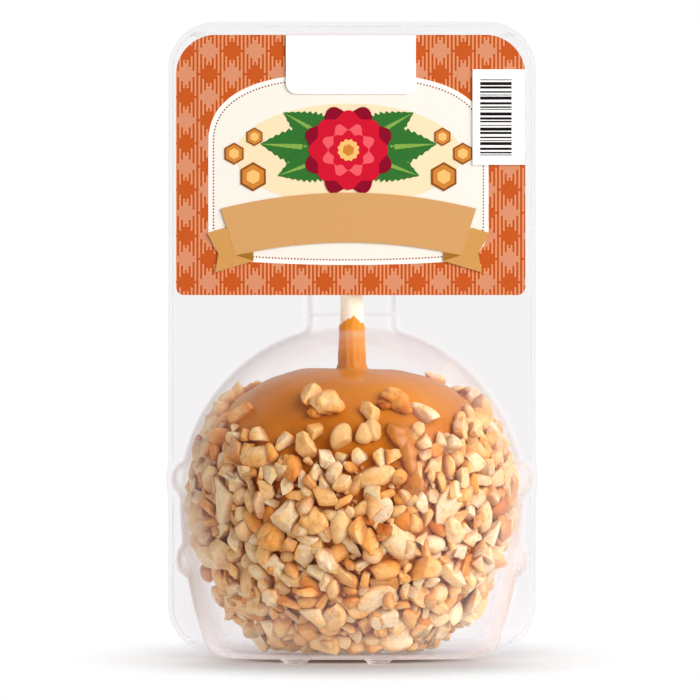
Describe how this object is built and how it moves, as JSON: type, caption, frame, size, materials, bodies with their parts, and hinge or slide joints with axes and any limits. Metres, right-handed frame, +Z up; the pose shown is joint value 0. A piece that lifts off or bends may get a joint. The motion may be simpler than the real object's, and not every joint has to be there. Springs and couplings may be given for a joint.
{
  "type": "packaged caramel apple",
  "caption": "Caramel apple on a wooden stick, rolled in chopped peanuts, standing in a clear plastic retail pack with a printed label on its flat header.",
  "frame": {"origin": "middle of the underside of the feet, under the axis of the stick", "axes": "+Z up along the stick, +X to the right of the label as it is read, +Y to the back of the pack"},
  "size_m": [0.083, 0.0776, 0.1442],
  "materials": {
    "clear_plastic": "clear thermoformed sheet, glossy",
    "printed_label": "printed, satin",
    "caramel": "glossy caramel",
    "peanut": "roasted, dry, slightly oily",
    "stick_wood": "plain birch, unvarnished"
  },
  "bodies": {
    "root": {"shell_front": "clear_plastic", "shell_back": "clear_plastic", "label": "printed_label", "caramel_apple": "caramel", "peanut_coat": "peanut", "stick": "stick_wood"}
  },
  "joints": []
}
